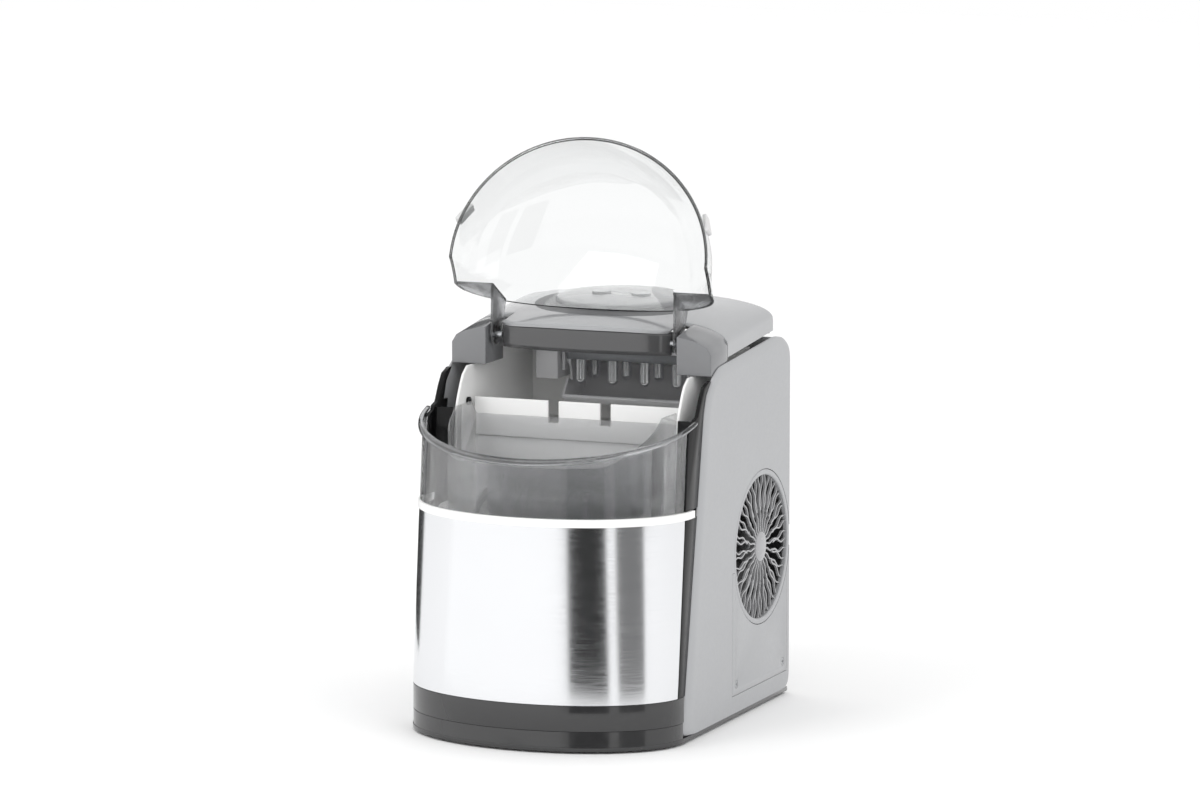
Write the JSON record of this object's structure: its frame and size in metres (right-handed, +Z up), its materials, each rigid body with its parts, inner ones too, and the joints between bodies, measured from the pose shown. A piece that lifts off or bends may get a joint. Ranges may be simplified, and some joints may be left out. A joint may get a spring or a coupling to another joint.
{
  "type": "countertop ice maker",
  "caption": "Countertop ice maker with a bowed steel front, a hinged clear lid that stands open, a smoked window, an ice basket, freezing fingers and a fan in the right side.",
  "frame": {"origin": "bottom centre of the bounding box, on the table under the middle of the body", "axes": "+X to the right side with the fan, +Y to the back, +Z up; the bowed front faces -Y; the rest pose has the lid open"},
  "size_m": [0.243, 0.32, 0.4884],
  "materials": {
    "dark_gloss": "glossy",
    "rubber": "matte",
    "steel_front": "brushed",
    "white_plastic": "satin",
    "smoked_clear": "clear",
    "black_gloss": "glossy",
    "panel_grey": "satin",
    "grille_dark": "satin",
    "duct_dark": "matte",
    "motor_steel": "satin",
    "screw_steel": "polished",
    "top_grey": "satin",
    "fascia_smoked": "glossy",
    "pod_grey": "glossy",
    "button_grey": "glossy",
    "lens": "clear",
    "board_green": "satin",
    "clear_lid": "clear",
    "catch_grey": "satin",
    "liner_white": "satin",
    "duct_grey": "satin",
    "chrome_plate": "polished",
    "compressor_black": "satin",
    "fin_aluminium": "satin",
    "zinc_sheet": "satin",
    "copper": "satin",
    "hose_clear": "satin"
  },
  "bodies": {
    "chassis": {"base_tray": "dark_gloss", "rubber_feet": "rubber", "plinth_band": "dark_gloss", "front_panel": "steel_front", "trim_band": "white_plastic", "front_window": "smoked_clear", "frame_column_left": "black_gloss", "frame_column_right": "black_gloss", "side_panel_left": "panel_grey", "side_panel_right": "panel_grey", "fan_service_cover": "panel_grey", "fan_grille": "grille_dark", "fan_shroud": "duct_dark", "fan_motor": "motor_steel", "rear_panel": "panel_grey", "rear_hood": "panel_grey", "power_inlet": "duct_dark", "case_screws": "screw_steel", "top_cover": "top_grey", "hinge_block_left": "top_grey", "hinge_block_right": "top_grey", "top_fascia": "fascia_smoked", "control_pod": "pod_grey", "indicator_lenses": "lens", "control_board": "board_green", "lid_hinge_pins": "screw_steel", "water_tank": "liner_white", "bin_liner": "liner_white", "ice_sensor": "black_gloss", "evaporator_frame": "duct_grey", "evaporator": "chrome_plate", "tray_motor": "duct_dark", "compressor": "compressor_black", "compressor_mounts": "rubber", "condenser": "fin_aluminium", "condenser_bracket": "zinc_sheet", "discharge_pipe": "copper", "suction_pipe": "copper", "filter_drier": "copper", "water_pump": "duct_dark", "water_hose": "hose_clear"},
    "lid": {"lid": "clear_lid", "lid_catches": "catch_grey"},
    "basket": {"ice_basket": "smoked_clear"},
    "shovel": {"ice_shovel": "liner_white"},
    "tray": {"water_tray": "duct_grey"},
    "fan": {"fan_impeller": "duct_dark"},
    "power_key": {"power_button": "button_grey"},
    "select_key": {"select_button": "button_grey"},
    "float": {"water_float": "white_plastic"},
    "drain": {"drain_cap": "white_plastic"}
  },
  "joints": [
    {"name": "lid_hinge", "type": "hinge", "parent": "chassis", "child": "lid", "pos_m": [0, -0.004, 0.3205], "axis": [1, 0, 0], "range_deg": [0, 121]},
    {"name": "basket_lift", "type": "slide", "parent": "chassis", "child": "basket", "axis": [0, 0, 1], "range_m": [0, 0.02]},
    {"name": "shovel_slide", "type": "slide", "parent": "chassis", "child": "shovel", "axis": [0, 1, 0], "range_m": [0, 0.04]},
    {"name": "tray_tilt", "type": "hinge", "parent": "chassis", "child": "tray", "pos_m": [0.0167, 0.0655, 0.292], "axis": [1, 0, 0], "range_deg": [-21, 32]},
    {"name": "fan_spin", "type": "hinge", "parent": "chassis", "child": "fan", "pos_m": [0.1, 0.0925, 0.1376], "axis": [1, 0, 0], "continuous": true},
    {"name": "power_press", "type": "slide", "parent": "chassis", "child": "power_key", "axis": [0, 0, -1], "range_m": [0, 0.0015], "stiffness_N_per_m": 600},
    {"name": "select_press", "type": "slide", "parent": "chassis", "child": "select_key", "axis": [0, 0, -1], "range_m": [0, 0.0015], "stiffness_N_per_m": 600},
    {"name": "float_rise", "type": "slide", "parent": "chassis", "child": "float", "axis": [0, 0, 1], "range_m": [0, 0.012]},
    {"name": "drain_pull", "type": "slide", "parent": "chassis", "child": "drain", "axis": [0, 1, 0], "range_m": [0, 0.018]}
  ]
}
